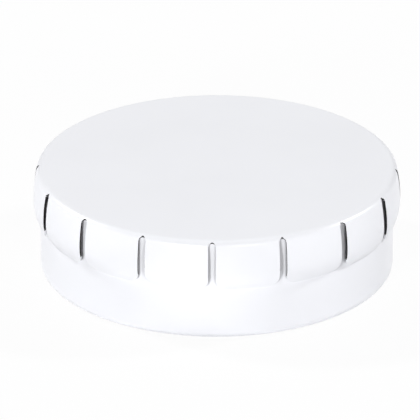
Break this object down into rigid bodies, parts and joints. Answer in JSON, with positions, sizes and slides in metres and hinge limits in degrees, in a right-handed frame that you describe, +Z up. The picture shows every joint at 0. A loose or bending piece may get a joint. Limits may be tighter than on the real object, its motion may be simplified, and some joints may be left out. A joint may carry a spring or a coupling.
{
  "type": "press-to-open mint tin",
  "caption": "Round press-to-open mint tin: a drawn body and a lid whose slit skirt forms spring fingers, which splay off the body when the domed panel is pressed.",
  "frame": {"origin": "centre of the ring that the tin stands on, on the tin's axis", "axes": "+Z up along the tin's axis; a slit of the lid lies on +X and on -Y, the side that faces the camera"},
  "size_m": [0.05, 0.05, 0.0153],
  "materials": {
    "body_lacquer": "gloss",
    "lid_lacquer": "gloss"
  },
  "bodies": {
    "body": {"body_cup": "body_lacquer"},
    "lid": {"lid_crown": "lid_lacquer"},
    "dome": {"press_dome": "lid_lacquer"},
    "finger_01": {"finger_01": "lid_lacquer"},
    "finger_02": {"finger_02": "lid_lacquer"},
    "finger_03": {"finger_03": "lid_lacquer"},
    "finger_04": {"finger_04": "lid_lacquer"},
    "finger_05": {"finger_05": "lid_lacquer"},
    "finger_06": {"finger_06": "lid_lacquer"},
    "finger_07": {"finger_07": "lid_lacquer"},
    "finger_08": {"finger_08": "lid_lacquer"},
    "finger_09": {"finger_09": "lid_lacquer"},
    "finger_10": {"finger_10": "lid_lacquer"},
    "finger_11": {"finger_11": "lid_lacquer"},
    "finger_12": {"finger_12": "lid_lacquer"},
    "finger_13": {"finger_13": "lid_lacquer"},
    "finger_14": {"finger_14": "lid_lacquer"},
    "finger_15": {"finger_15": "lid_lacquer"},
    "finger_16": {"finger_16": "lid_lacquer"}
  },
  "joints": [
    {"name": "lid_lift", "type": "slide", "parent": "body", "child": "lid", "axis": [0, 0, 1], "range_m": [0, 0.03]},
    {"name": "dome_press", "type": "slide", "parent": "lid", "child": "dome", "axis": [0, 0, -1], "range_m": [0, 0.00126]},
    {"name": "finger_01_flex", "type": "hinge", "parent": "lid", "child": "finger_01", "pos_m": [0.02416, 0.00481, 0.01381], "axis": [0.1951, -0.9808, 0], "range_deg": [0, 4.5]},
    {"name": "finger_02_flex", "type": "hinge", "parent": "lid", "child": "finger_02", "pos_m": [0.02048, 0.01369, 0.01381], "axis": [0.5556, -0.8315, 0], "range_deg": [0, 4.5]},
    {"name": "finger_03_flex", "type": "hinge", "parent": "lid", "child": "finger_03", "pos_m": [0.01369, 0.02048, 0.01381], "axis": [0.8315, -0.5556, 0], "range_deg": [0, 4.5]},
    {"name": "finger_04_flex", "type": "hinge", "parent": "lid", "child": "finger_04", "pos_m": [0.00481, 0.02416, 0.01381], "axis": [0.9808, -0.1951, 0], "range_deg": [0, 4.5]},
    {"name": "finger_05_flex", "type": "hinge", "parent": "lid", "child": "finger_05", "pos_m": [-0.00481, 0.02416, 0.01381], "axis": [0.9808, 0.1951, 0], "range_deg": [0, 4.5]},
    {"name": "finger_06_flex", "type": "hinge", "parent": "lid", "child": "finger_06", "pos_m": [-0.01369, 0.02048, 0.01381], "axis": [0.8315, 0.5556, 0], "range_deg": [0, 4.5]},
    {"name": "finger_07_flex", "type": "hinge", "parent": "lid", "child": "finger_07", "pos_m": [-0.02048, 0.01369, 0.01381], "axis": [0.5556, 0.8315, 0], "range_deg": [0, 4.5]},
    {"name": "finger_08_flex", "type": "hinge", "parent": "lid", "child": "finger_08", "pos_m": [-0.02416, 0.00481, 0.01381], "axis": [0.1951, 0.9808, 0], "range_deg": [0, 4.5]},
    {"name": "finger_09_flex", "type": "hinge", "parent": "lid", "child": "finger_09", "pos_m": [-0.02416, -0.00481, 0.01381], "axis": [-0.1951, 0.9808, 0], "range_deg": [0, 4.5]},
    {"name": "finger_10_flex", "type": "hinge", "parent": "lid", "child": "finger_10", "pos_m": [-0.02048, -0.01369, 0.01381], "axis": [-0.5556, 0.8315, 0], "range_deg": [0, 4.5]},
    {"name": "finger_11_flex", "type": "hinge", "parent": "lid", "child": "finger_11", "pos_m": [-0.01369, -0.02048, 0.01381], "axis": [-0.8315, 0.5556, 0], "range_deg": [0, 4.5]},
    {"name": "finger_12_flex", "type": "hinge", "parent": "lid", "child": "finger_12", "pos_m": [-0.00481, -0.02416, 0.01381], "axis": [-0.9808, 0.1951, 0], "range_deg": [0, 4.5]},
    {"name": "finger_13_flex", "type": "hinge", "parent": "lid", "child": "finger_13", "pos_m": [0.00481, -0.02416, 0.01381], "axis": [-0.9808, -0.1951, 0], "range_deg": [0, 4.5]},
    {"name": "finger_14_flex", "type": "hinge", "parent": "lid", "child": "finger_14", "pos_m": [0.01369, -0.02048, 0.01381], "axis": [-0.8315, -0.5556, 0], "range_deg": [0, 4.5]},
    {"name": "finger_15_flex", "type": "hinge", "parent": "lid", "child": "finger_15", "pos_m": [0.02048, -0.01369, 0.01381], "axis": [-0.5556, -0.8315, 0], "range_deg": [0, 4.5]},
    {"name": "finger_16_flex", "type": "hinge", "parent": "lid", "child": "finger_16", "pos_m": [0.02416, -0.00481, 0.01381], "axis": [-0.1951, -0.9808, 0], "range_deg": [0, 4.5]}
  ],
  "couplings": [
    {"joint": "finger_01_flex", "follows": "dome_press", "rad_per_m": 62.3},
    {"joint": "finger_02_flex", "follows": "dome_press", "rad_per_m": 62.3},
    {"joint": "finger_03_flex", "follows": "dome_press", "rad_per_m": 62.3},
    {"joint": "finger_04_flex", "follows": "dome_press", "rad_per_m": 62.3},
    {"joint": "finger_05_flex", "follows": "dome_press", "rad_per_m": 62.3},
    {"joint": "finger_06_flex", "follows": "dome_press", "rad_per_m": 62.3},
    {"joint": "finger_07_flex", "follows": "dome_press", "rad_per_m": 62.3},
    {"joint": "finger_08_flex", "follows": "dome_press", "rad_per_m": 62.3},
    {"joint": "finger_09_flex", "follows": "dome_press", "rad_per_m": 62.3},
    {"joint": "finger_10_flex", "follows": "dome_press", "rad_per_m": 62.3},
    {"joint": "finger_11_flex", "follows": "dome_press", "rad_per_m": 62.3},
    {"joint": "finger_12_flex", "follows": "dome_press", "rad_per_m": 62.3},
    {"joint": "finger_13_flex", "follows": "dome_press", "rad_per_m": 62.3},
    {"joint": "finger_14_flex", "follows": "dome_press", "rad_per_m": 62.3},
    {"joint": "finger_15_flex", "follows": "dome_press", "rad_per_m": 62.3},
    {"joint": "finger_16_flex", "follows": "dome_press", "rad_per_m": 62.3}
  ]
}
